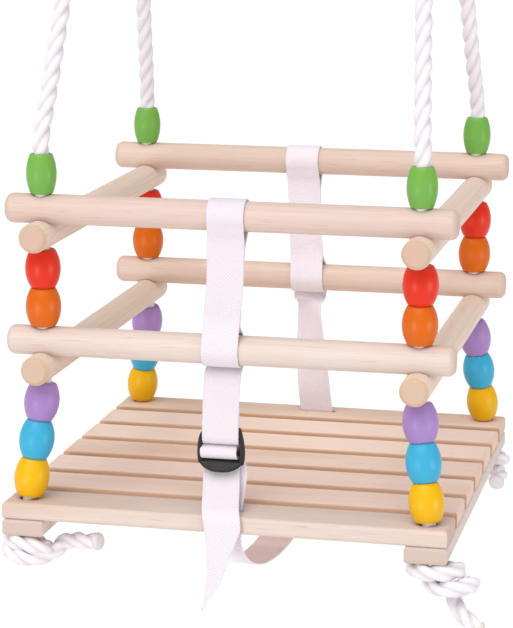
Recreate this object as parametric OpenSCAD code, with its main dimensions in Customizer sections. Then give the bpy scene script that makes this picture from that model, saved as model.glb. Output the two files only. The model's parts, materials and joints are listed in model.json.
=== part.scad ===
// Wooden cradle swing for a toddler: a slatted seat, two tiers of round guard bars, painted
// spacer beads threaded on the ropes, a webbing crotch strap and two hanging rings.
// Frame: X to the right, Y to the back, Z up. The origin is midway between the two ring centres.

/* [Seat] */
// Length of the seat slats, left to right
seat_w = 363; // [355:1:380]
// Width of one slat, front to back
slat_w = 44; // [42:1:46]
// Open gap between two slats
slat_gap = 11.5; // [9:0.5:13]
// Thickness of a slat
slat_t = 14; // [12:1:18]
// Width of the battens under the slats
batten_w = 34; // [32:1:40]
// Thickness of the battens
batten_t = 14; // [12:1:18]
// Rounding of the long edges of slats and battens
edge_r = 3; // [1:0.5:4]

/* [Guard bars] */
// Diameter of the round bars
bar_d = 24; // [23:0.5:26]
// Length of the front and back bars
cross_bar_len = 363; // [350:1:380]
// Length of the side bars
side_bar_len = 375; // [360:1:390]
// Left to right distance between the ropes through the bars
rope_span_x = 306; // [304:0.5:308]
// Front to back distance between the ropes through the bars
rope_span_y = 318; // [316:0.5:320]
// Depth of the saddle that a side bar sits in, under a cross bar
saddle_depth = 3.7; // [2:0.1:5]
// Radius of the rounding on the bar ends
bar_end_r = 6; // [4:0.5:7]

/* [Beads] */
// Largest diameter of a spacer bead
bead_d = 28.6; // [26:0.1:30]
// Diameter of a spacer bead's flat ends
bead_end_d = 19.6; // [18:0.1:21]
// Height of a spacer bead
bead_h = 31.2; // [30:0.1:31.2]
// Largest diameter of a top bead
top_bead_d = 24.4; // [22:0.1:26]
// Diameter of a top bead's flat ends
top_bead_end_d = 17.6; // [16:0.1:20]
// Height of a top bead
top_bead_h = 32; // [30:0.1:32]

/* [Ropes and rings] */
// Diameter of the free rope
rope_d = 14; // [12:0.5:14]
// Diameter of the rope where a bore squeezes it
rope_squeezed_d = 11.6; // [10:0.1:11.8]
// Bore for the rope in bars and beads
rope_bore_d = 12.6; // [12.4:0.1:13]
// Bore for the rope in the seat
seat_bore_d = 15; // [14:0.5:16]
// Wire diameter of a hanging ring
ring_wire_d = 10; // [8:0.5:10]
// Drop from the lower side bars to the seat, filled by three beads
leg_gap = 97; // [97:0.5:99]

/* [Webbing] */
// Width of the webbing
web_w = 30; // [25:1:30]
// Thickness of the webbing
web_t = 2; // [1.5:0.1:2.5]
// Left to right place of the front webbing
front_web_x = -3; // [-5:1:0]
// Left to right place of the back webbing
back_web_x = -2; // [-4:1:2]
// Width of the ladder-lock buckle
buckle_w = 39; // [38:1:40]
// Height of the ladder-lock buckle's frame
buckle_h = 30; // [30:1:32]

/* [Hidden] */
$fn = 64;
rope_sides = 10;
fit_gap = 0.3;
slat_count = 7;
ring_span = 250;
ring_d = 54;
hang_drop = 565; // from the ring centres to the axes of the upper cross bars
bar_r = bar_d / 2;
bar_end_share = 0.9; // share of the rounding's radius that a bar's flat end leaves
bar_step = bar_d - saddle_depth;
corner_x = rope_span_x / 2;
corner_y = rope_span_y / 2;
seat_depth = slat_count * slat_w + (slat_count - 1) * slat_gap;
slat_pitch = slat_w + slat_gap;
seat_bore_x = seat_w / 2 - 17.5;
seat_bore_y = seat_depth / 2 - 17.5;
batten_x = seat_w / 2 - batten_w / 2;

// Heights, from the rings down
upper_cross_z = -hang_drop;
upper_side_z = upper_cross_z - bar_step;
lower_cross_z = upper_side_z - bar_d - 2 * bead_h - 3 * fit_gap;
lower_side_z = lower_cross_z - bar_step;
column_foot_z = lower_side_z - bar_r;
seat_top_z = column_foot_z - leg_gap;
slat_z = seat_top_z - slat_t / 2;
batten_z = seat_top_z - slat_t - batten_t / 2;
seat_under_z = seat_top_z - slat_t - batten_t;
top_bead_z = upper_cross_z + bar_r + fit_gap;
rope_turn_z = top_bead_z + top_bead_h + fit_gap;

// The lower three beads of each column follow the rope, which leans out to the seat corner
lean_x = seat_bore_x - corner_x;
lean_y = seat_bore_y - corner_y;
lean_len = norm([lean_x, lean_y, leg_gap]);
lean_tilt = atan2(norm([lean_x, lean_y]), leg_gap);
lean_start = (lean_len - 3 * bead_h - 2 * fit_gap) / 2;

// Webbing slots and the screw row
front_slot = [-2, -168];
back_slot = [8, 168];
crotch_x = -2;
seat_web_x = 3;
back_low_x = 7;
buckle_x = -6;
hang_web_x = -5.5; // webbing from the lower front bar to the buckle
slot_w = web_w + 4;
slot_t = 5;
end_screw_y = 153;
screw_len = 22;
screw_r = 1.75;
screw_head_r = 3.8;
screw_head_h = 2.6;

// Buckle, hung under the lower front bar
buckle_top_z = lower_cross_z - 64;
buckle_t = 7;
eye_drop = 10;   // from the buckle's top to its upper bar
grip_drop = 20.5;
foot_drop = 28;
buckle_rail = 3;
buckle_bar = 4;
tab_r = 16;
tab_t = 2.6;
tab_lean = 32;

// Binding twine under the rings
seizing_foot_z = -71;
seizing_h = 14;
twine_d = 2;
fall_y = 7.5; // half the distance between the two falls inside the binding

// Half of a doubled rope, from the top bead up to the crown of its loop over the ring
upper_route = [
    [153, 159, -520], [153, 159, -511], [152, 154.5, -496], [150, 144, -470], [145.5, 118, -400],
    [141, 94, -330], [136.5, 70, -260], [132, 46, -190], [127.5, 22, -120], [125.5, 10, -86],
    [125, 7.5, -73], [125, 7.5, -56], [125, 10, -44], [125, 12.5, -34], [125, 13, -27],
    [125, 11.5, -20], [125, 6.5, -15.5], [125, 0, -14]
];
// Stopper knots under the seat, one [x, y, z, radius] per ring, from the rope hole outwards.
// x runs to the right and y to the back from the hole, z up from the underside of the batten.
knot_front_left = [
    [0, 0, -4, 13], [0, 0, -10, 22], [0, 0, -18, 22], [3, -1, -25, 14], [14, -3, -27, 7],
    [30, -6, -20, 7], [46, -8, -10, 7], [62, -9, -5, 7]
];
knot_front_right = [
    [0, 0, -4, 13], [1, 0, -11, 20], [5, -2, -19, 19], [14, -4, -27, 19], [22, -5, -35, 13],
    [31, -6, -43, 7], [43, -7, -54, 7]
];
knot_back_left = [
    [0, 0, -4, 13], [0, 0, -11, 20], [0, 0, -20, 20], [-2, 2, -28, 12], [-5, 5, -36, 7],
    [-9, 8, -52, 6]
];
knot_back_right = [
    [0, 0, -4, 13], [1, 0, -11, 21], [2, 0, -20, 20], [3, -1, -28, 13], [4, -3, -36, 8],
    [6, -6, -52, 6]
];
// Under-seat run of the webbing, seen from the side, from the front slot to the back slot
seat_web_route = [
    [-168, -817], [-168, -826], [-163, -842], [-152, -854], [-138, -859], [-120, -860.5],
    [-85, -860], [-55, -857.5], [0, -849], [70, -839], [135, -832], [159, -831],
    [168, -826], [168, -817]
];
// Free end of the webbing, seen from the side, from the buckle down over the seat edge
tail_route = [
    [-157, -768], [-160, -775], [-168, -785], [-180, -793], [-188, -799], [-191, -806],
    [-192, -820], [-194, -845], [-197, -877]
];
tail_x = -1;
// Webbing between the front slot and the buckle, and between the lower back bar and the back
// slot, seen from the side
crotch_route = [[-168, -817], [-168, -803], [-159, -784], [-153, -768], [-153, -752]];
back_route = [[159, -688], [159.5, -715], [167, -790], [168, -804], [168, -817]];

CORNERS = [["front_left", -1, -1], ["front_right", 1, -1], ["back_left", -1, 1], ["back_right", 1, 1]];

// ---------- shared shapes ----------

// A unit vector along v
function unit(v) = v / norm(v);

// Direction of a route at point i
function heading(route, i) =
    unit(route[min(i + 1, len(route) - 1)] - route[max(i - 1, 0)]);

// One ring of points round the route at point i
function ring_points(centre, along, radius, side) =
    let (u = unit(cross(side, along)), v = cross(along, u))
    [for (k = [0:rope_sides - 1])
        let (a = 360 * k / rope_sides) centre + radius * (cos(a) * u + sin(a) * v)];

// A tube along a route, with its own radius at each point
module tube(route, radii, side) {
    last = len(route) - 1;
    points = [for (i = [0:last]) each ring_points(route[i], heading(route, i), radii[i], side)];
    walls = [for (i = [0:last - 1], k = [0:rope_sides - 1])
        let (n = (k + 1) % rope_sides, a = i * rope_sides, b = a + rope_sides)
        [a + k, b + k, b + n, a + n]];
    foot = [[for (k = [0:rope_sides - 1]) k]];
    head = [[for (k = [rope_sides - 1:-1:0]) last * rope_sides + k]];
    polyhedron(points, concat(walls, foot, head));
}

// Rectangle with round corners, centred, with true arcs
module round_rect(w, h, r) {
    square([w - 2 * r, h], center = true);
    square([w, h - 2 * r], center = true);
    for (x = [-1, 1], y = [-1, 1])
        translate([x * (w / 2 - r), y * (h / 2 - r)]) circle(r);
}

// Board with its edges rounded, centred
module board(x, y, z) {
    intersection() {
        rotate([90, 0, 90]) linear_extrude(x, center = true) round_rect(y, z, edge_r);
        rotate([90, 0, 0]) linear_extrude(y, center = true) round_rect(x, z, edge_r);
    }
}

// Round bar along Z, centred, its ends rounded up to a flat face
module round_bar(length) {
    shoulder = length / 2 - bar_end_share * bar_end_r;
    inner = bar_r - bar_end_r;
    rotate_extrude() intersection() {
        translate([0, -length / 2]) square([bar_r, length]);
        union() {
            translate([0, -length / 2]) square([inner, length]);
            translate([0, -shoulder]) square([bar_r, 2 * shoulder]);
            for (end = [-1, 1]) translate([inner, end * shoulder]) circle(bar_end_r);
        }
    }
}

// Front or back bar: rope holes near its ends, and a saddle under it for each side bar
module cross_bar(y, z) {
    color("burlywood") translate([0, y, z]) difference() {
        rotate([0, 90, 0]) round_bar(cross_bar_len);
        for (x = [-corner_x, corner_x]) {
            translate([x, 0, 0]) cylinder(h = 2 * bar_d, d = rope_bore_d, center = true);
            translate([x, 0, -bar_step]) rotate([90, 0, 0])
                cylinder(h = 2 * bar_d, r = bar_r + fit_gap / 2, center = true);
        }
    }
}

// Left or right bar: rope holes near its ends
module side_bar(x, z) {
    color("burlywood") translate([x, 0, z]) difference() {
        rotate([90, 0, 0]) round_bar(side_bar_len);
        for (y = [-corner_y, corner_y])
            translate([0, y, 0]) cylinder(h = 2 * bar_d, d = rope_bore_d, center = true);
    }
}

// Barrel-shaped bead standing on Z = 0, bored for the rope
module bead(d, end_d, h) {
    swell = (d - end_d) / 2;
    arc_r = (swell * swell + h * h / 4) / (2 * swell);
    rotate_extrude() intersection() {
        translate([d / 2 - arc_r, h / 2]) circle(arc_r, $fn = 128);
        translate([rope_bore_d / 2, 0]) square([d, h]);
    }
}

// Bead on the upright part of a rope, with its foot at height z
module upright_bead(paint, sx, sy, z, d, end_d, h) {
    color(paint) translate([sx * corner_x, sy * corner_y, z]) bead(d, end_d, h);
}

// Bead on the leaning part of a rope; place 0 is the top one
module leaning_bead(paint, sx, sy, place) {
    color(paint) translate([sx * corner_x, sy * corner_y, column_foot_z])
        rotate([0, 0, atan2(sy * lean_y, sx * lean_x)]) rotate([0, -lean_tilt, 0])
                translate([0, 0, -lean_start - (place + 1) * bead_h - place * fit_gap])
                    bead(bead_d, bead_end_d, bead_h);
}

// The three beads of a corner that ride on the guard bars
module upper_column(corner, sx, sy) {
    upright_bead("limegreen", sx, sy, top_bead_z, top_bead_d, top_bead_end_d, top_bead_h);
    upright_bead("red", sx, sy, upper_side_z - bar_r - fit_gap - bead_h,
            bead_d, bead_end_d, bead_h);
    upright_bead("orange", sx, sy, lower_cross_z + bar_r + fit_gap,
            bead_d, bead_end_d, bead_h);
}

// The three beads of a corner that stand on the seat
module lower_column(corner, sx, sy) {
    leaning_bead("mediumpurple", sx, sy, 0);
    leaning_bead("deepskyblue", sx, sy, 1);
    leaning_bead("gold", sx, sy, 2);
}

// ---------- rings and ropes ----------

// Welded ring that hangs on a hook, its hole facing front and back
module hanging_ring(sx) {
    color("silver") translate([sx * ring_span / 2, 0, 0]) rotate([90, 0, 0])
        rotate_extrude() translate([ring_d / 2, 0]) circle(d = ring_wire_d);
}

// One rope, doubled over its ring, down to the front and back top beads
module upper_rope(sx) {
    last = len(upper_route) - 1;
    front = [for (p = upper_route) [sx * p[0], -p[1], p[2]]];
    back = [for (i = [last - 1:-1:0])
        [sx * upper_route[i][0], upper_route[i][1], upper_route[i][2]]];
    route = concat(front, back);
    color("white") tube(route, [for (p = route) rope_d / 2], [1, 0, 0]);
}

// Twine binding that holds the two falls together under the ring
module seizing(sx) {
    turn_r = rope_d / 2 + fit_gap;
    color("ivory") translate([sx * ring_span / 2, 0, seizing_foot_z])
        linear_extrude(seizing_h) difference() {
            stadium(turn_r + twine_d, fall_y);
            stadium(turn_r, fall_y);
        }
}

// Outline round two equal circles side by side along Y
module stadium(r, half_span) {
    for (y = [-half_span, half_span]) translate([0, y]) circle(r);
    square([2 * r, 2 * half_span], center = true);
}

// The rope inside a corner column, through the seat and into its stopper knot
module lower_rope(sx, sy, knot) {
    thin = rope_squeezed_d / 2;
    column = [
        [sx * corner_x, sy * corner_y, rope_turn_z],
        [sx * corner_x, sy * corner_y, (rope_turn_z + column_foot_z) / 2],
        [sx * corner_x, sy * corner_y, column_foot_z],
        [sx * seat_bore_x, sy * seat_bore_y, seat_top_z],
        [sx * seat_bore_x, sy * seat_bore_y, seat_top_z - slat_t],
        [sx * seat_bore_x, sy * seat_bore_y, seat_under_z]
    ];
    tail = [for (k = knot)
        [sx * seat_bore_x + k[0], sy * seat_bore_y + k[1], seat_under_z + k[2]]];
    color("white") tube(concat(column, tail),
        concat([for (p = column) thin], [for (k = knot) k[3]]), [0, 1, 0]);
}

// ---------- seat ----------

// Front to back place of slat number i, counted from the front
function slat_y(i) = (i - (slat_count + 1) / 2) * slat_pitch;

// Front to back place of the screw in slat number i
function screw_y(i) = i == 1 ? -end_screw_y : i == slat_count ? end_screw_y : slat_y(i);

// Seat slat number i; the end slats hold the ropes and the webbing slot
module seat_slat(i) {
    end_slat = i == 1 || i == slat_count;
    side = i == 1 ? -1 : 1;
    slot = i == 1 ? front_slot : back_slot;
    color("burlywood") difference() {
        translate([0, slat_y(i), slat_z]) board(seat_w, slat_w, slat_t);
        for (x = [-batten_x, batten_x])
            translate([x, screw_y(i), seat_top_z - slat_t - 1]) cylinder(h = 10, r = screw_r + 0.1);
        if (end_slat) {
            for (x = [-seat_bore_x, seat_bore_x])
                translate([x, side * seat_bore_y, slat_z])
                    cylinder(h = 2 * slat_t, d = seat_bore_d, center = true);
            translate([slot[0], slot[1], slat_z])
                linear_extrude(2 * slat_t, center = true) round_rect(slot_w, slot_t, slot_t / 2 - 0.1);
        }
    }
}

// Batten under the slat ends, bored for the ropes and countersunk for the screws
module batten(sx) {
    color("burlywood") difference() {
        translate([sx * batten_x, 0, batten_z]) board(batten_w, seat_depth, batten_t);
        for (y = [-seat_bore_y, seat_bore_y])
            translate([sx * seat_bore_x, y, batten_z])
                cylinder(h = 2 * batten_t, d = seat_bore_d, center = true);
        for (i = [1:slat_count])
            translate([sx * batten_x, screw_y(i), seat_under_z]) {
                translate([0, 0, -1]) cylinder(h = batten_t + 2, r = screw_r + 0.2);
                translate([0, 0, -0.01])
                    cylinder(h = screw_head_h + 0.2, r1 = screw_head_r + 0.3, r2 = screw_r + 0.2);
            }
    }
}

// Countersunk wood screws from below, one where each slat crosses a batten
module seat_screws() {
    color("goldenrod") for (sx = [-1, 1], i = [1:slat_count])
        translate([sx * batten_x, screw_y(i), seat_under_z + 0.1]) {
            cylinder(h = screw_head_h, r1 = screw_head_r, r2 = screw_r);
            translate([0, 0, screw_head_h - 0.01]) cylinder(h = screw_len - 6, r = screw_r);
            translate([0, 0, screw_len - 3.5]) cylinder(h = 3.5, r1 = screw_r, r2 = 0.4);
        }
}

// ---------- webbing and buckle ----------

// Sweeps a side-view outline across the width of the webbing
module webbing(x) {
    color("whitesmoke") translate([x, 0, 0]) rotate([90, 0, 90])
        linear_extrude(web_w, center = true) children();
}

// Side view of webbing sewn round two bars one above the other, its run on one side of them
module sewn_outline(y, top_z, low_z, side) {
    inner = bar_r + fit_gap;
    outer = inner + web_t;
    lap = 0.1;
    difference() {
        for (z = [top_z, low_z]) translate([y, z]) circle(outer);
        for (z = [top_z, low_z]) translate([y, z]) circle(inner);
    }
    translate([y + side * (inner + outer) / 2, (top_z + low_z) / 2])
        square([web_t - 2 * lap, top_z - low_z], center = true);
}

// Side view of webbing along a route
module run_outline(route) {
    half = web_t / 2;
    last = len(route) - 1;
    normal = [for (i = [0:last])
        let (d = heading(route, i)) [-d[1], d[0]]];
    polygon(concat([for (i = [0:last]) route[i] + half * normal[i]],
                   [for (i = [last:-1:0]) route[i] - half * normal[i]]));
}

// Front webbing: sewn round both front bars, down to the buckle's upper bar
module front_strap() {
    eye_z = buckle_top_z - eye_drop;
    eye_r = buckle_bar / 2 + fit_gap;
    hang_top = lower_cross_z - bar_r - fit_gap - web_t / 2;
    hang_foot = eye_z + eye_r + web_t / 2;
    webbing(front_web_x) sewn_outline(-corner_y, upper_cross_z, lower_cross_z, -1);
    webbing(hang_web_x) {
        translate([-corner_y, (hang_top + hang_foot) / 2])
            square([web_t, hang_top - hang_foot], center = true);
        translate([-corner_y, eye_z]) difference() {
            circle(eye_r + web_t);
            circle(eye_r);
        }
    }
}

// Free end of the webbing that hangs out of the buckle, over the front of the seat
module strap_tail() {
    webbing(tail_x) run_outline(tail_route);
}

// Webbing from the front slot in the seat up to the buckle
module crotch_strap() {
    webbing(crotch_x) run_outline(crotch_route);
}

// Slack webbing under the seat, from the front slot to the back slot
module seat_strap() {
    webbing(seat_web_x) run_outline(seat_web_route);
}

// Back webbing, sewn round both back bars
module back_strap_upper() {
    webbing(back_web_x) sewn_outline(corner_y, upper_cross_z, lower_cross_z, -1);
}

// Back webbing from the lower bar down into the back slot
module back_strap_lower() {
    webbing(back_low_x) run_outline(back_route);
}

// Ladder-lock buckle: two rails, three bars and a finger tab that leans forward
module ladder_lock() {
    window_w = buckle_w - 2 * buckle_rail;
    foot_z = buckle_top_z - foot_drop;
    color("dimgray") translate([buckle_x, -corner_y, 0]) {
        for (sx = [-1, 1])
            translate([sx * (buckle_w - buckle_rail) / 2, 0, buckle_top_z - buckle_h / 2])
                cube([buckle_rail, buckle_t, buckle_h], center = true);
        for (drop = [eye_drop, grip_drop, foot_drop])
            translate([0, 0, buckle_top_z - drop]) rotate([0, 90, 0])
                cylinder(h = window_w + 1, d = buckle_bar, center = true);
        translate([0, 0, foot_z]) rotate([90 - tab_lean, 0, 0])
            linear_extrude(tab_t, center = true) intersection() {
                translate([0, tab_r / 2]) circle(tab_r);
                translate([-tab_r, -tab_r]) square([2 * tab_r, tab_r]);
            }
    }
}

// ---------- the assembly ----------

hanging_ring(-1);  // hanging_ring_left
hanging_ring(1);  // hanging_ring_right
upper_rope(-1);  // upper_rope_left
upper_rope(1);  // upper_rope_right
seizing(-1);  // seizing_left
seizing(1);  // seizing_right
lower_rope(-1, -1, knot_front_left);  // lower_rope_front_left
lower_rope(1, -1, knot_front_right);  // lower_rope_front_right
lower_rope(-1, 1, knot_back_left);  // lower_rope_back_left
lower_rope(1, 1, knot_back_right);  // lower_rope_back_right
cross_bar(-corner_y, upper_cross_z);  // upper_bar_front
cross_bar(corner_y, upper_cross_z);  // upper_bar_back
side_bar(-corner_x, upper_side_z);  // upper_bar_left
side_bar(corner_x, upper_side_z);  // upper_bar_right
cross_bar(-corner_y, lower_cross_z);  // lower_bar_front
cross_bar(corner_y, lower_cross_z);  // lower_bar_back
side_bar(-corner_x, lower_side_z);  // lower_bar_left
side_bar(corner_x, lower_side_z);  // lower_bar_right
for (c = CORNERS) {
    upper_column(c[0], c[1], c[2]);
    lower_column(c[0], c[1], c[2]);
}
for (i = [1:slat_count])
    seat_slat(i);
batten(-1);  // batten_left
batten(1);  // batten_right
seat_screws();
front_strap();
strap_tail();
crotch_strap();
seat_strap();
back_strap_upper();
back_strap_lower();
ladder_lock();
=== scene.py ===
"""Looks of the toddler bucket swing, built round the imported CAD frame. Lengths are in metres."""
import json
import math
import random

import bpy
from mathutils import Matrix, Vector


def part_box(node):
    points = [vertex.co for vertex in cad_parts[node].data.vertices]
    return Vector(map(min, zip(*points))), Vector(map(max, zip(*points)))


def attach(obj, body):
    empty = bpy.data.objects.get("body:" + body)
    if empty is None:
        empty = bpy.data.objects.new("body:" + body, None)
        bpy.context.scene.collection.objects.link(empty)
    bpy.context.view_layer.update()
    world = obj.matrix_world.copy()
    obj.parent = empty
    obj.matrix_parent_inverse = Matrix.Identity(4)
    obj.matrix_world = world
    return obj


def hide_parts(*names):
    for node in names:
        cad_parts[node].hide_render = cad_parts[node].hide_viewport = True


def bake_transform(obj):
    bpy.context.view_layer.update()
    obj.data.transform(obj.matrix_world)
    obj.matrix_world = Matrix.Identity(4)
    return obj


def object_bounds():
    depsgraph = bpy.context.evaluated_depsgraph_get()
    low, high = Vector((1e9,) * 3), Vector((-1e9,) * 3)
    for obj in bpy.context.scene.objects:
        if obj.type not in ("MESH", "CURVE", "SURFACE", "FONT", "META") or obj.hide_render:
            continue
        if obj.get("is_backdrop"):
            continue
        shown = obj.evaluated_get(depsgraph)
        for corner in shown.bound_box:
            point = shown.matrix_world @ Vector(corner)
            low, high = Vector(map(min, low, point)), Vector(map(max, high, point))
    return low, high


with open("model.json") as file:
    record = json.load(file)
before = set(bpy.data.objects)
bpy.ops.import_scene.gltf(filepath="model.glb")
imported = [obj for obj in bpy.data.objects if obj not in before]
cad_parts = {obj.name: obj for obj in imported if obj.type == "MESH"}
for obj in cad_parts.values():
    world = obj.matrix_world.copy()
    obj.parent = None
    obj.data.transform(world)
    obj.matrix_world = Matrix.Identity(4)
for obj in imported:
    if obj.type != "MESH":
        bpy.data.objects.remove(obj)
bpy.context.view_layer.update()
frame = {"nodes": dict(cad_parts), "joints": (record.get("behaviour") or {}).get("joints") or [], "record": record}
MM = 0.001
TURN = 2 * math.pi
SIDES = {"left": -1, "right": 1}
ENDS = {"front": -1, "back": 1}
CORNERS = {f"{e}_{s}": (SIDES[s], ENDS[e]) for e in ENDS for s in SIDES}
BODY_OF = {n: b for b, members in frame["record"]["behaviour"]["bodies"].items() for n in members}
JOINTS = {j["name"]: j for j in frame["joints"]}


def middle(node):
    """Middle of a CAD node's box."""
    low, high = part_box(node)
    return (low + high) / 2


def mm(*values):
    """A point given in millimetres."""
    return Vector(values) * MM


# ---------- places taken from the frame ----------

upper_bar = middle("upper_bar_front")
lower_bar = middle("lower_bar_front")
bar_r = (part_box("upper_bar_left")[1].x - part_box("upper_bar_left")[0].x) / 2
seat_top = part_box("seat_slat_4")[1].z
seat_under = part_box("batten_left")[0].z
rope_x, rope_y = 153 * MM, 159 * MM      # ropes through the bars
hole_x, hole_y = 164 * MM, 171 * MM      # ropes through the seat
rope_turn = -520.4 * MM                  # where the ropes bend into the green beads
column_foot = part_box("lower_bar_left")[0].z
rope_r = 7 * MM
squeezed_r = 6.15 * MM                   # a rope inside a bore
web_w, web_t = 30 * MM, 1.7 * MM
low_y, low_z = lower_bar.y / MM, lower_bar.z / MM
buckle_top = low_z - 64
bar_depth = 159                          # from the middle of the swing to the front and back bars, in mm


# ---------- camera ----------

def camera():
    """The photograph's viewpoint: a little above, and to the right of the front."""
    yaw, pitch, roll = 0.2221, 0.2052, 0.0026
    distance = 2028.24
    aim = Vector((-13.19 * MM, 0, upper_bar.z - 111.39 * MM))
    ahead = Vector((-math.sin(yaw) * math.cos(pitch), math.cos(yaw) * math.cos(pitch),
                    -math.sin(pitch)))
    right = Vector((math.cos(yaw), math.sin(yaw), 0))
    up = right.cross(ahead)
    right, up = (math.cos(roll) * right + math.sin(roll) * up,
                 math.cos(roll) * up - math.sin(roll) * right)
    data = bpy.data.cameras.new("camera")
    data.sensor_width, data.lens = 36, 135.35
    data.clip_start, data.clip_end = 0.05, 200
    made = bpy.data.objects.new("camera", data)
    place = Matrix((right, up, -ahead)).transposed().to_4x4()
    place.translation = aim - ahead * distance * MM
    made.matrix_world = place
    bpy.context.scene.collection.objects.link(made)
    bpy.context.scene.camera = made


# ---------- node helpers ----------

class Shader:
    """A material's node tree with short calls to add and join nodes."""

    def __init__(self, name):
        self.material = bpy.data.materials.new(name)
        self.material.use_nodes = True
        self.tree = self.material.node_tree
        self.bsdf = self.tree.nodes["Principled BSDF"]

    def add(self, kind, inputs=None, **settings):
        node = self.tree.nodes.new("ShaderNode" + kind)
        for key, value in settings.items():
            setattr(node, key, value)
        for key, value in (inputs or {}).items():
            self.feed(node, key, value)
        return node

    def feed(self, node, key, value):
        socket = node.inputs[key]
        if isinstance(value, bpy.types.NodeSocket):
            self.tree.links.new(value, socket)
        elif isinstance(value, bpy.types.Node):
            self.tree.links.new(value.outputs[0], socket)
        else:
            socket.default_value = value

    def math(self, operation, *values):
        return self.add("Math", dict(enumerate(values)), operation=operation).outputs[0]

    def mix(self, share, first, second):
        node = self.add("Mix", data_type="RGBA")
        for key, value in ((0, share), (6, first), (7, second)):
            self.feed(node, key, value)
        return node.outputs[2]

    def ramp(self, value, low, high):
        """Black at `low` to white at `high`."""
        node = self.add("ValToRGB", {0: value})
        ends = node.color_ramp.elements
        ends[0].position, ends[1].position = low, high
        ends[0].color, ends[1].color = (0, 0, 0, 1), (1, 1, 1, 1)
        return node.outputs[0]

    def share(self, value, amount):
        return self.math("MULTIPLY", value, amount)

    def strip_uv(self):
        """Places along a strip or rope: across is output 0 and along is output 1."""
        return self.add("SeparateXYZ", {0: self.add("UVMap", uv_map="UVMap").outputs[0]}).outputs

    def spot(self, stretch=(1, 1, 1), shift=(0, 0, 0)):
        where = self.add("TexCoord").outputs["Object"]
        return self.add("Mapping", {"Vector": where, "Scale": stretch, "Location": shift}).outputs[0]

    def noise(self, where, scale, detail=2.0, roughness=0.5):
        return self.add("TexNoise", {"Vector": where, "Scale": scale, "Detail": detail,
                                     "Roughness": roughness}).outputs[0]

    def bump(self, height, distance, strength=1.0, after=None):
        made = self.add("Bump", {"Height": height, "Distance": distance, "Strength": strength})
        if after is not None:
            self.feed(made, "Normal", after)
        return made.outputs[0]

    def finish(self, colour, roughness, normal=None, **constants):
        self.feed(self.bsdf, "Base Color", colour)
        self.feed(self.bsdf, "Roughness", roughness)
        if normal is not None:
            self.feed(self.bsdf, "Normal", normal)
        for key, value in constants.items():
            self.feed(self.bsdf, key.replace("_", " "), value)
        return self.material


def rgb(r, g, b):
    """An opaque colour from sRGB values of 0 to 255."""
    def linear(c):
        c /= 255
        return c / 12.92 if c <= 0.04045 else ((c + 0.055) / 1.055) ** 2.4
    return (linear(r), linear(g), linear(b), 1)


# ---------- materials ----------

def wood(name, axis, seed, tone, end_grain_and_shade=1.0, heart=0.0, painted_gap_shade=0.0):
    """Sanded beech with its grain along an axis: faint growth bands, fine fibres, small flecks and, where
    `heart` says so, browner heartwood streaks. The ends come out a little darker and yellower by the share
    after `tone`: end grain, with painted shade on the rounded rims round the end faces. The faces to the
    front and back get painted shade, browner by the last share."""
    s = Shader(name)
    rng = random.Random(seed)
    shift = [rng.uniform(-3, 3) for _ in range(3)]

    def drawn(share):
        return s.spot([share if i == axis else 1 for i in range(3)], shift)

    def darker(red, green, blue):
        return rgb(tone[0] * red, tone[1] * green, tone[2] * blue)

    wander = s.noise(drawn(0.05), 34, 2)
    bands = s.add("TexWave", {"Vector": drawn(0.04), "Scale": 75, "Distortion": 5, "Detail": 2,
                              "Detail Scale": 1.2}, bands_direction="YZX"[axis],
                  wave_profile="SIN").outputs[1]
    fibres = s.noise(drawn(0.02), 1300, 3, 0.6)
    flecks = s.noise(drawn(0.05), 700, 1)
    base = s.mix(s.share(bands, 0.42), rgb(*(c * 1.02 for c in tone)), darker(0.965, 0.94, 0.915))
    base = s.mix(s.share(wander, 0.4), base, darker(0.985, 0.945, 0.935))
    base = s.mix(s.share(s.ramp(fibres, 0.4, 0.75), 0.3), base, darker(0.9, 0.84, 0.79))
    base = s.mix(s.share(s.ramp(flecks, 0.66, 0.72), 0.3), base, darker(0.84, 0.74, 0.66))
    if heart:
        patches = s.noise(drawn(0.2), 14, 2)
        base = s.mix(s.share(s.ramp(patches, 0.55, 0.75), heart), base, darker(0.88, 0.75, 0.6))
    normal = s.add("SeparateXYZ", {0: s.add("TexCoord").outputs["Normal"]})

    def facing(which, low, high):
        return s.ramp(s.math("ABSOLUTE", normal.outputs[which]), low, high)

    # end grain, with painted shade on the rounded rims round the end faces
    base = s.mix(s.share(facing(axis, 0.1, 0.6), 0.8 * end_grain_and_shade), base, darker(0.88, 0.8, 0.715))
    base = s.mix(s.share(facing(axis, 0.9, 0.97), 0.8 * end_grain_and_shade), base, darker(0.9, 0.835, 0.81))
    # painted shade: the faces to the front and back, which look into the gaps between the slats, are browned
    if painted_gap_shade:
        base = s.mix(s.share(facing(1, 0.35, 0.9), painted_gap_shade), base, darker(0.82, 0.7, 0.57))
    rough = s.math("ADD", s.share(fibres, 0.15), 0.5)
    return s.finish(base, rough, s.bump(fibres, 0.00035, 0.25), Specular_IOR_Level=0.25)


def paint(name, colour, light):
    """Satin paint on turned wood, a little thinner and paler on the end rims."""
    s = Shader(name)
    where = s.spot()
    wear = s.add("Attribute", attribute_name="rim").outputs["Fac"]
    patches = s.noise(where, 70, 3)
    chips = s.noise(where, 420, 2, 0.7)
    grain = s.noise(s.spot((1, 1, 0.06)), 800, 2)
    worn = s.math("MULTIPLY", wear, s.ramp(chips, 0.46, 0.62))
    base = s.mix(s.share(patches, 0.3), colour, light)
    base = s.mix(s.share(grain, 0.16), base, tuple(c * 0.72 for c in colour[:3]) + (1,))
    base = s.mix(s.share(worn, 0.4), base, light)
    peel = s.noise(where, 480, 1)
    normal = s.bump(peel, 0.0002, 0.2, s.bump(grain, 0.00025, 0.2))
    rough = s.math("ADD", s.share(patches, 0.1), 0.29)
    return s.finish(base, rough, normal, Specular_IOR_Level=0.26)


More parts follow.
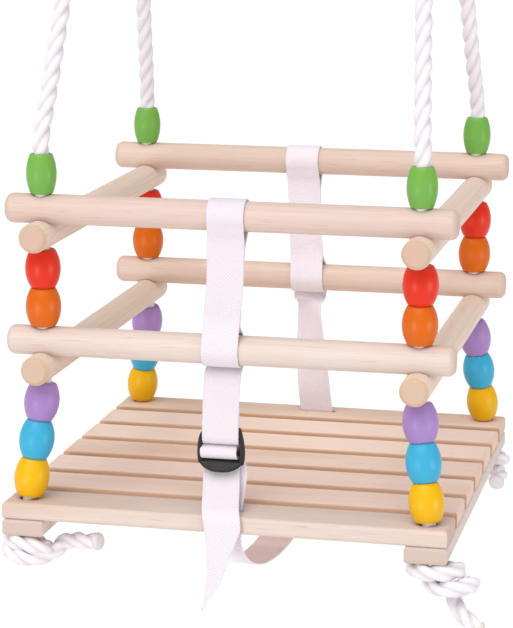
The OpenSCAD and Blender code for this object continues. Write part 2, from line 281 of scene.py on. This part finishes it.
def rope_white():
    """Twisted synthetic rope. Its strands are modelled; the yarns are not, and the valleys between the strands are
    darkened with painted shade.
    """
    s = Shader("white_rope")
    across, along = s.strip_uv()[:2]
    twist = s.math("ADD", s.share(across, 36), s.share(along, 60))
    yarn = s.math("ABSOLUTE", s.math("SINE", s.share(twist, math.pi)))
    hairs = s.noise(s.spot(), 1600, 2, 0.6)
    soft = s.noise(s.spot(), 60, 2)
    base = s.mix(s.share(soft, 0.3), rgb(232, 225, 229), rgb(225, 218, 224))
    # painted shade in the valleys between the strands, darkest furthest from a strand's crown
    crown = s.math("ABSOLUTE", s.math("COSINE", s.share(across, STRANDS / 2 * TURN)))
    valley = s.math("POWER", s.math("SUBTRACT", 1, crown), 1.5)
    base = s.mix(s.share(valley, 0.5), base, rgb(192, 183, 190))
    base = s.mix(s.share(s.math("SUBTRACT", 1, yarn), 0.1), base, rgb(200, 192, 200))
    height = s.math("ADD", yarn, s.share(hairs, 0.3))
    return s.finish(base, 0.5, s.bump(height, 0.0002, 0.3), Sheen_Weight=0.1, Sheen_Roughness=0.4)


def webbing_white(name, light=1.0):
    """Woven webbing: a lattice of small raised picks, from the strip's own UV in metres. A `light` above 1
    gives a lighter copy of the same webbing: painted light for straps that lie in the shade of the seat and bars.
    """
    s = Shader(name)
    across, along = s.strip_uv()[:2]

    def tone(*levels):
        return rgb(*(level * light for level in levels))

    def pick(place, pitch):
        return s.math("SINE", s.share(place, TURN / pitch))

    weave = s.math("MULTIPLY", pick(across, 3.0 * MM), pick(along, 2.6 * MM))
    rows = pick(along, 0.85 * MM)
    hairs = s.noise(s.spot(), 2200, 2, 0.6)
    soft = s.noise(s.spot(), 45, 2)
    raised = s.math("ADD", s.share(weave, 0.5), 0.5)
    base = s.mix(s.share(soft, 0.3), tone(229, 221, 227), tone(224, 215, 222))
    base = s.mix(s.share(s.math("SUBTRACT", 1, raised), 0.6), base, tone(200, 190, 198))
    height = s.math("ADD", s.math("ADD", raised, s.share(rows, 0.12)), s.share(hairs, 0.25))
    return s.finish(base, 0.75, s.bump(height, 0.00045, 0.5), Sheen_Weight=0.15, Sheen_Roughness=0.5)


def thread_white(name, light=1.0):
    """Sewing thread and binding twine, and the melted ends of the ropes."""
    s = Shader(name)
    lay = s.noise(s.spot((1, 1, 3)), 900, 2)
    tones = [rgb(*(c * light for c in tone)) for tone in ((222, 214, 210), (238, 232, 232))]
    return s.finish(s.mix(lay, *tones), 0.6, s.bump(lay, 0.0003, 0.6), Sheen_Weight=0.2)


def black_plastic():
    """Moulded nylon with a faint grained skin and paler rubbed patches."""
    s = Shader("black_plastic")
    grain = s.noise(s.spot(), 1400, 2, 0.6)
    rub = s.noise(s.spot(), 130, 3)
    base = s.mix(s.share(rub, 0.5), rgb(24, 20, 19), rgb(40, 36, 35))
    rough = s.math("ADD", s.share(rub, 0.2), 0.34)
    return s.finish(base, rough, s.bump(grain, 0.0002, 0.3), Specular_IOR_Level=0.35)


def plated(name, colour, dull):
    """Plated steel with a cloudy, lightly scratched skin."""
    s = Shader(name)
    cloud = s.noise(s.spot(), 180, 3)
    scratch = s.noise(s.spot((1, 1, 0.04)), 1800, 2)
    base = s.mix(s.share(cloud, 0.6), colour, dull)
    rough = s.math("ADD", s.share(cloud, 0.3), 0.22)
    return s.finish(base, rough, s.bump(scratch, 0.0002, 0.25), Metallic=1.0)


# ---------- lines and meshes ----------

def between(table, at):
    """The value at `at` in a table of (place, value) rows, straight between the rows."""
    rows = sorted(table)
    if at <= rows[0][0]:
        return rows[0][1]
    for (a, va), (b, vb) in zip(rows, rows[1:]):
        if at <= b:
            return va + (vb - va) * (at - a) / (b - a)
    return rows[-1][1]


def mesh_object(name, points, faces, material, uvs=None, smooth=True, layers=None):
    """A mesh object in the row frame. uvs holds one (u, v) for each corner of each face, in order."""
    mesh = bpy.data.meshes.new(name)
    mesh.from_pydata([tuple(p) for p in points], [], faces)
    mesh.materials.append(material)
    if uvs:
        layer = mesh.uv_layers.new(name="UVMap")
        layer.data.foreach_set("uv", [c for uv in uvs for c in uv])
    for key, values in (layers or {}).items():
        mesh.attributes.new(key, "FLOAT", "POINT").data.foreach_set("value", values)
    mesh.polygons.foreach_set("use_smooth", [smooth] * len(mesh.polygons))
    mesh.update()
    made = bpy.data.objects.new(name, mesh)
    bpy.context.scene.collection.objects.link(made)
    return made


def evenly(points, step):
    """The same line with its points about a step apart."""
    reach = [0.0]
    for a, b in zip(points, points[1:]):
        reach.append(reach[-1] + (b - a).length)
    count = max(2, round(reach[-1] / step))
    made, i = [], 0
    for k in range(count + 1):
        want = reach[-1] * k / count
        while i < len(points) - 2 and reach[i + 1] < want:
            i += 1
        span = reach[i + 1] - reach[i] or 1
        made.append(points[i].lerp(points[i + 1], min(1, max(0, (want - reach[i]) / span))))
    return made


def smooth_line(points, step):
    """A round curve through given points, of any number of dimensions, then evened out."""
    made, pieces = [], 16
    last = len(points) - 1
    for i in range(last):
        a, b, c, d = points[max(i - 1, 0)], points[i], points[i + 1], points[min(i + 2, last)]
        t1, t2 = (b - a).length ** 0.5 or 1, (d - c).length ** 0.5 or 1
        mid = (c - b).length ** 0.5 or 1e-6
        into = out = c - b
        if i:
            into = ((b - a) / t1 - (c - a) / (t1 + mid) + (c - b) / mid) * mid
        if i < last - 1:
            out = ((c - b) / mid - (d - b) / (mid + t2) + (d - c) / t2) * mid
        for k in range(pieces):
            t = k / pieces
            made.append(b * (2 * t**3 - 3 * t * t + 1) + into * (t**3 - 2 * t * t + t)
                        + c * (3 * t * t - 2 * t**3) + out * (t**3 - t * t))
    made.append(points[-1].copy())
    return evenly(made, step)


def headings(line):
    """The way a line runs at each of its points."""
    last = len(line) - 1
    return [(line[min(i + 1, last)] - line[max(i - 1, 0)]).normalized() for i in range(last + 1)]


def carried(line, side):
    """Frames (heading, side, other) along a line that turn as little as they can."""
    frames, across = [], Vector(side)
    for ahead in headings(line):
        across = (across - ahead * across.dot(ahead)).normalized()
        frames.append((ahead, across, ahead.cross(across)))
    return frames


def skin(count, n, first=0):
    """Faces of a closed tube: `count` rings of n points, and its two ends."""
    faces = [(first + i * n + k, first + i * n + (k + 1) % n, first + (i + 1) * n + (k + 1) % n,
              first + (i + 1) * n + k) for i in range(count - 1) for k in range(n)]
    faces.append(tuple(first + k for k in reversed(range(n))))
    faces.append(tuple(first + (count - 1) * n + k for k in range(n)))
    return faces


def tube(name, line, radii, material, n, side=(1, 0, 0)):
    """A plain round tube with one radius for each point of its line."""
    points = [p + (a * math.cos(TURN * k / n) + b * math.sin(TURN * k / n)) * r
              for p, r, (_, a, b) in zip(line, radii, carried(line, side)) for k in range(n)]
    return mesh_object(name, points, skin(len(line), n), material)


def joined(name, parts):
    """Joins mesh objects into the first one, under a new name."""
    bpy.context.view_layer.update()
    with bpy.context.temp_override(active_object=parts[0], selected_editable_objects=parts,
                                   selected_objects=parts, object=parts[0]):
        bpy.ops.object.join()
    parts[0].name = name
    return parts[0]


# ---------- ropes ----------

LAY = 50 * MM       # one full turn of a strand
STRANDS = 3


def laid_rope(name, line, radii, material, phase=0.0):
    """Three strands laid right-handed round a line, pressed together so that soft valleys part them.
    Where a bore squeezes the rope the strands flatten into a round."""
    n, valley, softness, least = 42, 0.36, 0.02, 0.1
    step = (line[1] - line[0]).length
    points = []
    for i, (p, r, (_, a, b)) in enumerate(zip(line, radii, carried(line, (1, 0, 0)))):
        turn = phase + TURN * i * step / LAY
        depth = valley * min(1, max(least, (r - squeezed_r) / (rope_r - squeezed_r)))
        for k in range(n):
            w = TURN * k / n
            lobe = math.sqrt(math.cos(STRANDS / 2 * w) ** 2 + softness)
            out = a * math.cos(w + turn) + b * math.sin(w + turn)
            points.append(p + out * r * (1 - depth + depth * lobe))
    faces = skin(len(line), n)
    uvs = []
    for f, face in enumerate(faces):
        i, k = divmod(f, n)
        if len(face) == 4:
            left, right, near, far = k / n, (k + 1) / n, i * step, (i + 1) * step
            uvs += [(left, near), (right, near), (right, far), (left, far)]
        else:
            uvs += [(0.5, 0)] * len(face)
    return mesh_object(name, points, faces, material, uvs)


# The front half of an upper rope, from its green bead up to the top of its ring, in mm. x grows outward
UPPER_ROUTE = [
    (153, 159, -525), (153, 159, -520), (153, 159, -511), (152, 154.5, -496), (150, 144, -470),
    (145.5, 118, -400), (141, 94, -330), (136.5, 70, -260), (132, 46, -190), (127.5, 22, -120),
    (125.5, 10, -86), (125, 7.5, -73), (125, 7.5, -56), (125, 10, -44), (125, 12.5, -34), (125, 13, -27),
    (125, 11.5, -20), (125, 6.5, -15.5), (125, 0, -14),
]


def upper_rope(side, material):
    """One rope doubled over its ring."""
    sx = SIDES[side]
    half = [mm(sx * x, -y, z) for x, y, z in UPPER_ROUTE]
    route = half + [Vector((p.x, -p.y, p.z)) for p in reversed(half[:-1])]
    line = smooth_line(route, 2.6 * MM)
    node = f"upper_rope_{side}"
    radii = [between([(-521.5, squeezed_r), (-517.5, rope_r)], p.z / MM) for p in line]
    made = laid_rope(f"{node}_strands", line, radii, material)
    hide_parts(node)
    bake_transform(made)


# Stopper knots: the rope's way on from its hole under the seat, in mm to the right, to the back and up
KNOTS = {
    "front_left": [(-5, 6, -4), (-16, 2, -8), (-6, -13, -6), (14, -7, -12), (6, 10, -14), (-14, 7, -13),
                   (-14, -9, -15), (4, -14, -19), (19, -2, -17), (28, 4, -9), (36, 2, -6), (47, -4, -4),
                   (62, -9, -2)],
    "front_right": [(-4, 6, -3), (-12, 0, -7), (3, -14, -7), (16, -12, -7), (25, -2, -7), (15, 10, -11),
                    (2, 3, -16), (12, -12, -20), (27, -12, -18), (36, -2, -18), (28, 9, -24),
                    (21, 3, -32), (29, -5, -42), (43, -7, -54)],
    "back_left": [(5, 6, -4), (15, 0, -7), (1, -13, -7), (-14, -3, -9), (-4, 12, -13), (13, 4, -16),
                  (3, -12, -19), (-13, -2, -22), (-7, 6, -32), (-9, 8, -50)],
    "back_right": [(-5, 6, -4), (-13, 0, -7), (2, -13, -7), (18, -3, -8), (9, 12, -12), (-8, 5, -16),
                   (1, -11, -20), (13, -12, -17), (19, -26, -16), (17, -42, -20)],
}


def lower_rope(corner, material, sealed):
    """The rope down a corner column and through the seat, tied off in a stopper knot."""
    sx, sy = CORNERS[corner]
    foot = Vector((sx * hole_x, sy * hole_y, seat_under))
    column = [Vector((sx * rope_x, sy * rope_y, z))
              for z in (rope_turn - 0.006, -0.6, column_foot + 0.02)]
    leaving = Vector((sx * rope_x, sy * rope_y, column_foot))
    column += [leaving.lerp(Vector((sx * hole_x, sy * hole_y, seat_top)), t) for t in (0.06, 0.5, 0.94)]
    column += [foot + mm(0, 0, 20), foot + mm(0, 0, 6)]
    knot = [foot + mm(*p) for p in KNOTS[corner]]
    line = smooth_line(column + knot, 2.2 * MM)
    radii = [between([(seat_top - 1 * MM, rope_r), (seat_top + 1 * MM, squeezed_r)], p.z)
             for p in line]
    made = laid_rope(f"lower_rope_{corner}_strands", line, radii, material, phase=0.4)
    end, ahead = line[-1], (line[-1] - line[-3]).normalized()
    rim = smooth_line([end - ahead * 3.4 * MM, end - ahead * 1.5 * MM, end + ahead * 1.2 * MM],
                      0.7 * MM)
    count = len(rim)
    swollen = [rope_r * (0.9 + 0.14 * math.sin(math.pi * min(1, (i + 1) / count * 1.1)))
               for i in range(count)]
    swollen[-1] = rope_r * 0.72
    cap = tube(f"{corner}_sealed_end", rim, swollen, sealed, n=18)
    node = f"lower_rope_{corner}"
    for piece in (made, cap):
        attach(piece, BODY_OF[node])
    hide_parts(node)


def seizing(side, material):
    """Twine wound round both falls of a rope, seven turns side by side."""
    node = f"seizing_{side}"
    low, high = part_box(node)
    twine, fall_y = 1.05 * MM, 7.5 * MM
    turns, steps = 7, 40
    centre_x, reach = (low.x + high.x) / 2, rope_r + twine * 1.1
    line = []
    for i in range(turns * steps + 1):
        t = i / steps
        a = TURN * t
        y = fall_y * max(-1, min(1, 1.6 * math.sin(a)))
        round_a = math.atan2(math.sin(a), math.cos(a))
        line.append(Vector((centre_x + reach * math.cos(round_a),
                            y + reach * math.sin(round_a) * 0.9,
                            low.z + twine + (high.z - low.z - 2 * twine) * t / turns)))
    made = tube(f"{node}_twine", line, [twine] * len(line), material, n=8, side=(0, 0, 1))
    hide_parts(node)
    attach(made, BODY_OF[node])


# ---------- webbing ----------

# One face of a strip's cross-section: (how far across, -1 to 1, and its share of half the thickness)
STRIP = [(-1, 0.0), (-0.99, 0.55), (-0.955, 0.95), (-0.90, 1.0), (-0.87, 0.84), (-0.6, 0.9),
         (-0.3, 0.92), (0, 0.92), (0.3, 0.92), (0.6, 0.9), (0.87, 0.84), (0.90, 1.0), (0.955, 0.95),
         (0.99, 0.55), (1, 0.0)]
STRIP_RING = STRIP + [(u, -h) for u, h in reversed(STRIP[1:-1])]
STRIP_STEP = 2.5 * MM
HINT_LENGTH = 0.05      # small, so that a turning strip hardly changes how its route is stepped


def strip(name, route, material, trim=None):
    """Webbing along a route. A route point is (x, y, z) in mm, with (dx, dy, dz) after it where the strip
    turns away from X. trim(z) gives the strip's left and right edges, from -1 to 1, at a height."""
    stations = []
    for p in route:
        hint = Vector(p[3:6]) if len(p) > 3 else Vector((1, 0, 0))
        stations.append(Vector([*(c * MM for c in p[:3]), *(c * HINT_LENGTH for c in hint)]))
    turning = smooth_line(stations, STRIP_STEP)
    line = [Vector(p[:3]) for p in turning]
    run = [0.0]
    for a, b in zip(line, line[1:]):
        run.append(run[-1] + (b - a).length)
    points, across_at, uvs = [], [], []
    for p, q, ahead in zip(line, turning, headings(line)):
        hint = Vector(q[3:6])
        side = (hint - ahead * hint.dot(ahead)).normalized()
        out = side.cross(ahead)
        left, right = trim(p.z / MM) if trim else (-1, 1)
        for u, h in STRIP_RING:
            u = left + (right - left) * (u + 1) / 2
            across_at.append(u * web_w / 2)
            points.append(p + side * u * web_w / 2 + out * h * web_t / 2)
    n = len(STRIP_RING)
    faces = skin(len(line), n)
    for face in faces:
        if len(face) == 4:
            uvs += [(across_at[v], run[v // n]) for v in face]
        else:
            uvs += [(0, 0)] * len(face)
    return mesh_object(name, points, faces, material, uvs)


def stitches(name, rows, material):
    """Rows of stitches on a surface. A row is (start, end, out) with out the way the surface faces."""
    thread, length, gap, n = 0.32 * MM, 2.4 * MM, 0.8 * MM, 6
    rings = ((-0.5, 0.45), (-0.35, 1.0), (0, 1.15), (0.35, 1.0), (0.5, 0.45))
    points, faces = [], []
    for start, end, out in rows:
        along = (end - start).normalized()
        side = along.cross(out).normalized()
        count = max(1, int((end - start).length / (length + gap)))
        for i in range(count):
            foot = start + (end - start) * (i + 0.5) / count
            first = len(points)
            for t, r in rings:
                lift = out * thread * (1.1 * (1 - (2 * t) ** 2) - 0.2)
                for k in range(n):
                    a = TURN * k / n
                    points.append(foot + along * t * length + lift
                                  + (side * math.cos(a) + out * math.sin(a)) * thread * r)
            faces += skin(len(rings), n, first)
    return mesh_object(name, points, faces, material)


def guard_strap(end, web, thread, xs):
    """Webbing sewn round an upper and a lower bar. Its front layer runs between them; xs are its places
    left to right at the upper bar, half way, just over the lower bar and at the lower bar."""
    y = ENDS[end] * bar_depth
    top, low = upper_bar.z / MM, low_z
    r = bar_r / MM + 0.35 + web_t / MM / 2
    table = list(zip((top, (top + low) / 2, low + 19, low), xs))

    def put(dy, z):
        return (between(table, z), y + dy, z)

    def bend(z, start, stop, count=15):
        """Round the bar at height z, from one angle to another; 0 is the back and 90 the top."""
        turns = [math.radians(start + (stop - start) * k / (count - 1)) for k in range(count)]
        return [put(r * math.cos(t), z + r * math.sin(t)) for t in turns]

    route = [put(-5.9, top - 38), put(-5.7, top - 33), put(-5.4, top - 27)]
    route += bend(top, -39, 212)
    route += [put(-9.6, top - 12.4), put(-8.0, top - 15.6), put(-7.4, top - 22), put(-7.6, top - 34),
              put(-8.4, (top + low) / 2), put(-7.8, low + 36), put(-7.5, low + 24)]
    route += bend(low, 162, 410)
    route += [put(-4.6, low + 21), put(-5.6, low + 27), put(-5.9, low + 34)]
    node = "front_strap" if end == "front" else "back_strap_upper"
    made = strip(f"{end}_guard_webbing", route, web)
    rows = []
    for z in (top - 30, low + 26):
        x = between(table, z)
        rows.append((mm(x - 13, y - 4.5, z), mm(x + 13, y - 4.5, z), Vector((0, 1, 0))))
    sewing = stitches(f"{end}_guard_stitches", rows, thread)
    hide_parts(node)
    for piece in (made, sewing):
        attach(piece, BODY_OF[node])


def hanger_webbing(web):
    """From the lower front bar down to the buckle, folded round the buckle's upper bar."""
    y, low, top = low_y, low_z, buckle_top
    route = [(-4, y + 6.0, low + 3), (-4, y + 13.6, low - 2), (-4.2, y + 8.5, low - 13),
             (-4.6, y + 1.0, low - 19), (-5, y - 2.5, low - 30), (-5.6, y - 3.2, low - 50),
             (-6, y - 3.4, top - 6), (-6, y - 3.0, top - 10), (-6, y, top - 12.9),
             (-6, y + 2.9, top - 10.0), (-6, y + 1.2, top - 5.5), (-5.8, y - 0.8, top + 4),
             (-5.6, y - 1.2, top + 14)]
    made = strip("buckle_hanger_webbing", route, web)
    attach(made, "guard")


# The tail is cut and folded to a slant. Its left and right edges: (height, how far across) in mm
TAIL_EDGES = ([(-878, -15.8), (-867, -13.3), (-849, -12.1), (-828, -12.6), (-812, -15)],
              [(-878, -15.4), (-867, -8.4), (-854, -0.2), (-835, 5.6), (-823, 10.4), (-812, 15)])


def tail_trim(z):
    return [between(edge, z) * MM / (web_w / 2) for edge in TAIL_EDGES]


def tail_webbing(web):
    """Over the buckle's middle bar, back under its lower bar, and out to the free tail."""
    y, top = low_y, buckle_top
    route = [(-7.5, y + 5.2, top - 15), (-7.5, y + 3.6, top - 14.6), (-7.8, y + 0.5, top - 15.6),
             (-7.6, y - 3.4, top - 17.5), (-7.4, y - 4.6, top - 21), (-7.2, y - 2.8, top - 24),
             (-7, y + 1.0, top - 25.2), (-6.8, y + 3.2, top - 28), (-6.4, y + 3.0, top - 33),
             (-5.6, y - 1, top - 40), (-3.6, y - 10, top - 49), (-1.6, y - 21, top - 56.5),
             (0.6, y - 29.5, top - 63), (2.4, y - 32.6, top - 70), (2.8, y - 33.6, top - 82),
             (2.8, y - 34.6, top - 98), (2.8, y - 36, top - 118), (2.8, y - 37.5, top - 141)]
    made = strip("strap_tail_webbing", route, web, trim=tail_trim)
    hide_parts("strap_tail")
    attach(made, "guard")


def crotch_webbing(web):
    """Up from the front slot to the buckle, stretched between the seat and the guard bars."""
    route = [(-2, -168, -824), (-2, -168, -812), (-1.6, -166.8, -800), (-0.6, -161, -787),
             (-0.6, -154.8, -773), (-3.6, -153.4, buckle_top - 27), (-5.4, -153.6, buckle_top - 15)]
    made = strip("crotch_webbing", route, web)
    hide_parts("crotch_strap")
    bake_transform(made)


def under_webbing(web):
    """Slack under the seat from slot to slot."""
    route = [(-2, -168, -815), (-2, -168, -827), (-0.5, -163.5, -839), (3, -153, -849), (8, -139, -854.5),
             (12.5, -118, -857), (16, -88, -857.5), (18.5, -55, -855.5), (18, 0, -848), (15, 70, -839),
             (11, 135, -832), (8.5, 157, -830.5), (8, 166, -826), (8, 168, -814)]
    made = strip("under_seat_webbing", route, web)
    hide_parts("seat_strap")
    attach(made, "seat")


def back_webbing(web):
    """From the lower back bar down into the back slot, turned a little where it hangs free."""
    low = low_z
    route = [(0.6, bar_depth + 9.5, low + 10), (0.6, bar_depth + 13.4, low),
             (0.8, bar_depth + 9.5, low - 10), (1, bar_depth + 3, low - 18),
             (1.0, 159.5, low - 28, 1, -0.7, 0), (1.6, 160, low - 44, 1, -0.6, 0),
             (3, 161.5, low - 75, 1, -0.25, 0), (5.5, 165, low - 112), (7, 168, low - 131),
             (7.4, 168, low - 152)]
    made = strip("back_webbing", route, web)
    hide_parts("back_strap_lower")
    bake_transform(made)


# ---------- wood, beads and metal ----------

def lathe(name, profile, rim, place, material):
    """A profile of (radius, height) turned round the Z axis of `place`, closed through its bore."""
    n, m = 72, len(profile)
    points = [place @ Vector((r * math.cos(TURN * k / n), r * math.sin(TURN * k / n), z))
              for r, z in profile for k in range(n)]
    faces = [(i * n + k, i * n + (k + 1) % n, ((i + 1) % m) * n + (k + 1) % n, ((i + 1) % m) * n + k)
             for i in range(m) for k in range(n)]
    marks = [mark for mark in rim for _ in range(n)]
    return mesh_object(name, points, faces, material, layers={"rim": marks})


def bead_profile(radius, end_radius, height, bore):
    """A barrel with softened end edges: (radius, height) points and how much each lies on a rim."""
    swell = radius - end_radius
    arc = (swell * swell + height * height / 4) / (2 * swell)
    soft, rim_depth = 0.6 * MM, 3.5 * MM
    corner_steps, side_steps = 5, 12
    half = [(bore, height / 2 - 0.4 * MM, 0.4), (bore + 0.1 * MM, height / 2 - 0.1 * MM, 0.9),
            (bore + 0.4 * MM, height / 2, 0.8), (end_radius - soft, height / 2, 0.7)]
    for k in range(1, corner_steps):
        a = math.pi / 2 * k / corner_steps
        half.append((end_radius - soft + soft * math.sin(a), height / 2 - soft * (1 - math.cos(a)), 1.0))
    for k in range(side_steps + 1):
        z = (height / 2 - soft) * (1 - k / side_steps)
        r = radius - arc + math.sqrt(arc * arc - z * z)
        half.append((r, z, max(0.0, 1 - (height / 2 - z) / rim_depth)))
    whole = [(r, -z, mark) for r, z, mark in half] + half[-2::-1]
    return [(r, z) for r, z, _ in whole], [mark for _, _, mark in whole]


def bead(colour, corner, material):
    """One turned and painted bead, on the axis that it spins about."""
    node = f"{colour}_bead_{corner}"
    axis = Vector(JOINTS[f"{node}_spin"]["axis"]).normalized()
    upright = "green_bead_front_left" if colour == "green" else "red_bead_front_left"
    low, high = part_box(upright)
    radius, height = (high.x - low.x) / 2, high.z - low.z
    end_radius = 8.8 * MM if colour == "green" else 9.8 * MM
    profile, rim = bead_profile(radius, end_radius, height, 6.3 * MM)
    place = Matrix.Translation(middle(node)) @ axis.to_track_quat("Z", "Y").to_matrix().to_4x4()
    made = lathe(f"{node}_turned", profile, rim, place, material)
    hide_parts(node)
    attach(made, BODY_OF[node])


# Each colour as it lies on the wood, and where it is thin
PAINTS = {
    "green": (rgb(108, 165, 68), rgb(130, 184, 88)),
    "red": (rgb(217, 42, 18), rgb(227, 62, 32)),
    "orange": (rgb(210, 96, 0), rgb(220, 110, 2)),
    "purple": (rgb(158, 124, 184), rgb(178, 147, 202)),
    "blue": (rgb(52, 162, 201), rgb(84, 182, 215)),
    "yellow": (rgb(228, 172, 0), rgb(233, 181, 0)),
}

# sRGB tones of the wood
TONES = {
    "upper_bar_front": (211, 190, 180), "upper_bar_back": (216, 194, 180),
    "upper_bar_left": (221, 203, 188), "upper_bar_right": (222, 202, 188),
    "lower_bar_front": (215, 200, 192), "lower_bar_back": (218, 196, 182),
    "lower_bar_left": (221, 204, 187), "lower_bar_right": (224, 205, 190),
    "batten_left": (212, 199, 193), "batten_right": (211, 198, 192),
}
SLAT_TONES = [(211, 195, 186), (238, 217, 204), (241, 220, 208), (237, 215, 202), (241, 221, 207),
              (238, 217, 204), (232, 212, 199)]


def set_material(node, material):
    """Gives a CAD node that is kept its finished material."""
    obj = frame["nodes"][node]
    obj.data.materials.clear()
    obj.data.materials.append(material)


# ---------- buckle ----------

def oval(centre, a, b, ra, rb, n=16, power=3.2):
    """A rounded rectangle of points about a centre, with half-sizes ra along a and rb along b."""
    made = []
    for k in range(n):
        t = TURN * k / n
        c, s = math.cos(t), math.sin(t)
        made.append(centre + a * ra * math.copysign(abs(c) ** (2 / power), c)
                    + b * rb * math.copysign(abs(s) ** (2 / power), s))
    return made


def buckle(material):
    """Ladder lock: two rails with rounded tips, three cross bars, and a curved finger tab."""
    low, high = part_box("ladder_lock")
    x_mid, half_w = (low.x + high.x) / 2 / MM, (high.x - low.x) / 2 / MM
    y_mid, top = low_y, buckle_top
    x_dir, y_dir, z_dir = Vector((1, 0, 0)), Vector((0, 1, 0)), Vector((0, 0, 1))
    parts = []

    def add(sections):
        points = [p for section in sections for p in section]
        faces = skin(len(sections), len(sections[0]))
        parts.append(mesh_object("buckle_part", points, faces, material))

    for sx in (-1, 1):
        tip = 0 if sx > 0 else -5
        rail = [(tip + 0.8, 0.5, 1.0), (tip + 0.2, 0.9, 1.9), (tip - 1.8, 1.3, 2.7), (-9, 1.6, 3.2),
                (-15, 1.9, 3.4), (-21, 2.1, 3.5), (-26, 2.1, 3.4), (-29.0, 1.8, 2.6), (-30.0, 1.1, 1.5)]
        add([oval(mm(x_mid + sx * (half_w - 2.1 - 0.007 * (z + 19) ** 2), y_mid, top + z), x_dir, y_dir,
                  rx * MM, ry * MM) for z, rx, ry in rail])
    reach = half_w - 1.5
    for drop, ry, rz in ((10, 1.7, 1.7), (20.5, 1.6, 1.8), (28, 1.9, 1.9)):
        add([oval(mm(x_mid + x, y_mid, top - drop), y_dir, z_dir, ry * MM, rz * MM)
             for x in (-reach, -reach / 2, 0, reach / 2, reach)])
    lean = math.radians(34)
    down = Vector((0, -math.sin(lean), -math.cos(lean)))
    face = Vector((0, -math.cos(lean), math.sin(lean)))
    foot = mm(x_mid, y_mid - 0.8, top - 27.2)
    tab = []
    for t in (0.0, 0.2, 0.4, 0.6, 0.75, 0.87, 0.95, 1.0):
        wide = 18.2 * math.sqrt(max(0.0, 1 - (t * 0.96) ** 1.7)) * (1 if t < 1 else 0.8)
        thick = 1.5 + 0.35 * math.sin(math.pi * t) - (0.6 if t == 1 else 0)
        tab.append(oval(foot + down * 9.6 * MM * t, x_dir, face, wide * MM, thick * MM,
                        n=28, power=4))
    add(tab)
    for t in (0.32, 0.56):
        wide = 11.5 * math.sqrt(1 - t * t)
        add([oval(foot + down * 9.6 * MM * t + face * 1.5 * MM + x_dir * x * wide * MM, down, face,
                  0.55 * MM, 0.5 * MM, n=10) for x in (-1, -0.9, 0, 0.9, 1)])
    made = joined("ladder_lock_moulding", parts)
    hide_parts("ladder_lock")
    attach(made, BODY_OF["ladder_lock"])


# ---------- the stage ----------

def stage():
    """A plain pale floor well below the swing, and soft studio light."""
    s = Shader("studio_floor")
    grain = s.noise(s.spot(), 3, 2)
    paper = s.finish(s.mix(s.share(grain, 0.2), rgb(252, 252, 253), rgb(248, 248, 250)), 0.9)
    reach, drop = 70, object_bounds()[0].z - 2.4
    floor = mesh_object("studio_floor", [(-reach, -reach, drop), (reach, -reach, drop),
                                         (reach, reach, drop), (-reach, reach, drop)],
                        [(0, 1, 2, 3)], paper, smooth=False)
    floor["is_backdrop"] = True
    world = bpy.data.worlds.new("studio")
    world.use_nodes = True
    world.node_tree.nodes["Background"].inputs[0].default_value = (1, 1, 1, 1)
    world.node_tree.nodes["Background"].inputs[1].default_value = 0.52
    bpy.context.scene.world = world
    target = Vector((0, 0, -0.68))
    for name, place in (("key", (-0.95, -2.2, -0.95)), ("side", (2.2, -0.9, -0.85))):
        light = bpy.data.lights.new(name, "AREA")
        light.size, light.energy = 0.7, 11
        lamp = bpy.data.objects.new(name, light)
        bpy.context.scene.collection.objects.link(lamp)
        lamp.location = place
        lamp.rotation_euler = (target - lamp.location).to_track_quat("-Z", "Y").to_euler()
    light = bpy.data.lights.new("overhead", "SUN")
    light.energy, light.angle = 2.1, math.radians(60)
    lamp = bpy.data.objects.new("overhead", light)
    bpy.context.scene.collection.objects.link(lamp)
    lamp.rotation_euler = Vector((0.12, 0.47, -0.88)).to_track_quat("-Z", "Y").to_euler()
    bpy.context.scene.view_settings.view_transform = "Standard"


# ---------- the swing ----------

def ropes():
    rope = rope_white()
    sealed = thread_white("melted_end", 0.92)
    for side in SIDES:
        upper_rope(side, rope)
    for corner in CORNERS:
        lower_rope(corner, rope, sealed)


def beads():
    for colour, (deep, light) in PAINTS.items():
        coat = paint(f"{colour}_paint", deep, light)
        for corner in CORNERS:
            bead(colour, corner, coat)


def woodwork():
    """Bars, battens and slats. The ends of the side bars get the most end grain and painted shade, and the first
    slat none of the painted shade on its faces to the front and back."""
    bar_seed, slat_seed = 11, 40
    for i, (node, tone) in enumerate(TONES.items()):
        axis, end_grain_and_shade = (0, 0.4) if node.endswith(("front", "back")) else (1, 1.0)
        if "bar" not in node:
            end_grain_and_shade = 0.5
        set_material(node, wood(f"{node}_wood", axis, bar_seed + i, tone, end_grain_and_shade))
    for i, tone in enumerate(SLAT_TONES, 1):
        # painted shade on the slat faces to the front and back, for all but the first slat
        painted_gap_shade = 0.8 if i > 1 else 0
        set_material(f"seat_slat_{i}", wood(f"slat_{i}_wood", 0, slat_seed + i, tone, 0.5, 0.5, painted_gap_shade))


def metalwork():
    for side in SIDES:
        zinc = plated(f"ring_{side}_zinc", rgb(196, 198, 202), rgb(150, 152, 158))
        set_material(f"hanging_ring_{side}", zinc)
    set_material("seat_screws", plated("screw_zinc", rgb(222, 196, 130), rgb(180, 150, 90)))


def webbing(thread):
    web = webbing_white("white_webbing")
    # painted light: a lighter copy of the same webbing, for the back and under-seat straps in the shade of the
    # seat and bars
    painted_light_web = webbing_white("painted_light_webbing", 1.06)
    guard_strap("front", web, thread, (0, -1, -4.4, -4.6))
    guard_strap("back", painted_light_web, thread, (-4.5, -1.5, -0.3, 0.5))
    buckle(black_plastic())
    hanger_webbing(web)
    tail_webbing(web)
    crotch_webbing(web)
    under_webbing(painted_light_web)
    back_webbing(painted_light_web)


camera()
ropes()
twine = thread_white("white_thread")
for side in SIDES:
    seizing(side, twine)
beads()
woodwork()
metalwork()
webbing(twine)
stage()
